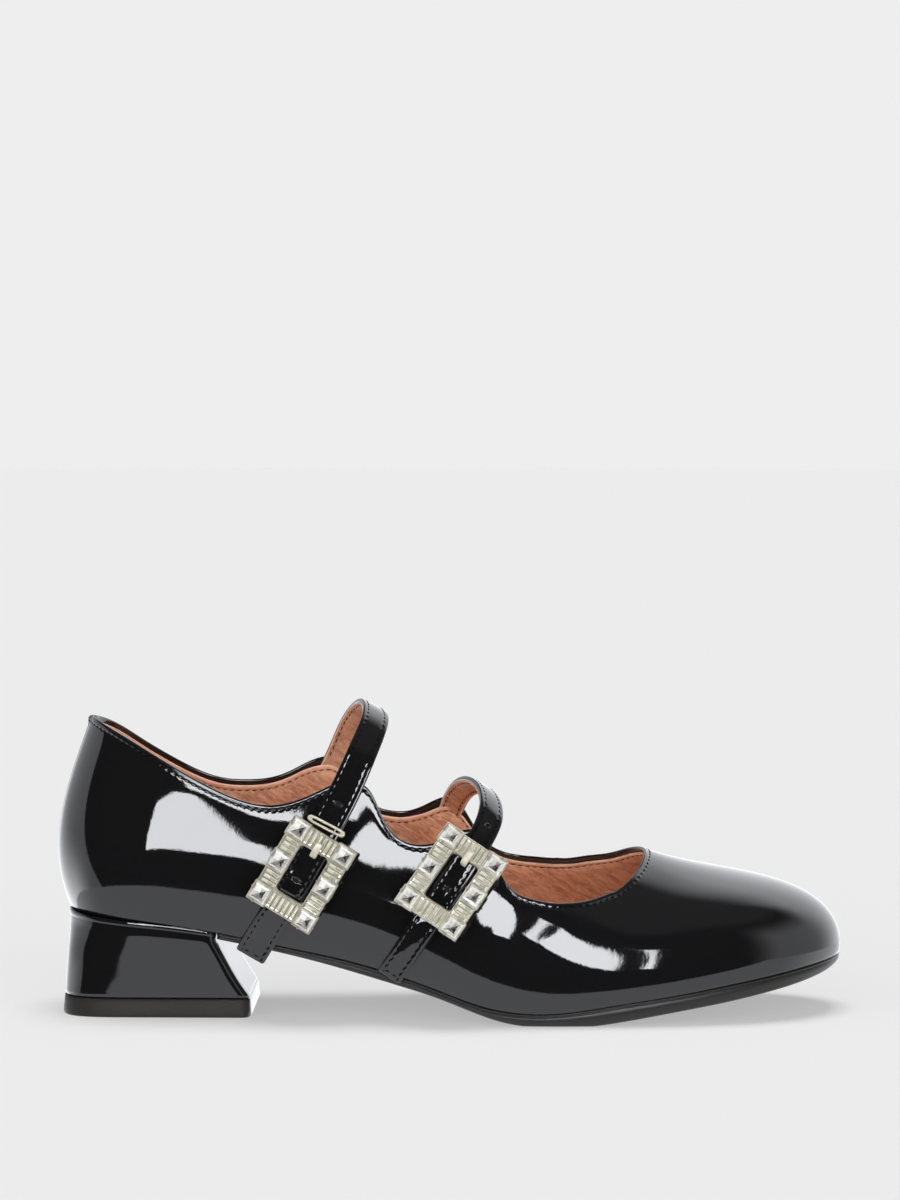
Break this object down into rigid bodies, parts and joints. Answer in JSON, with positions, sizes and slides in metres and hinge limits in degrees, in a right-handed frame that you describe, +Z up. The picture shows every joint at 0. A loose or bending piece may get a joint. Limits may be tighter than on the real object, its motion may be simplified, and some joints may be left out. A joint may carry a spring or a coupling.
{
  "type": "two-strap block-heel shoe",
  "caption": "Patent shoe for the right foot with two buckled straps over the instep and a low block heel; worn on the foot.",
  "frame": {"origin": "middle of the heel's tread, on the floor", "axes": "+X to the toe, -Y to the outer (buckle) side, +Z up"},
  "size_m": [0.2506, 0.0872, 0.0996],
  "materials": {
    "patent": "black patent, near mirror gloss",
    "lining": "tan synthetic leather, finely wrinkled, matt",
    "sole": "satin black",
    "lift": "satin black rubber",
    "buckle": "pale metal set with clear cut stones",
    "prong": "pale gold, polished",
    "stone": "clear cut crystal, foil backed",
    "thread": "black sewing thread"
  },
  "bodies": {
    "root": {"upper": "patent", "insole": "lining", "outsole": "sole", "heel_block": "patent", "heel_top_lift": "lift", "strap_rear": "patent", "strap_front": "patent", "buckle_frame_rear": "buckle", "buckle_frame_front": "buckle", "buckle_prong_rear": "prong", "buckle_prong_front": "prong", "strap_keeper_rear": "prong"}
  },
  "joints": []
}
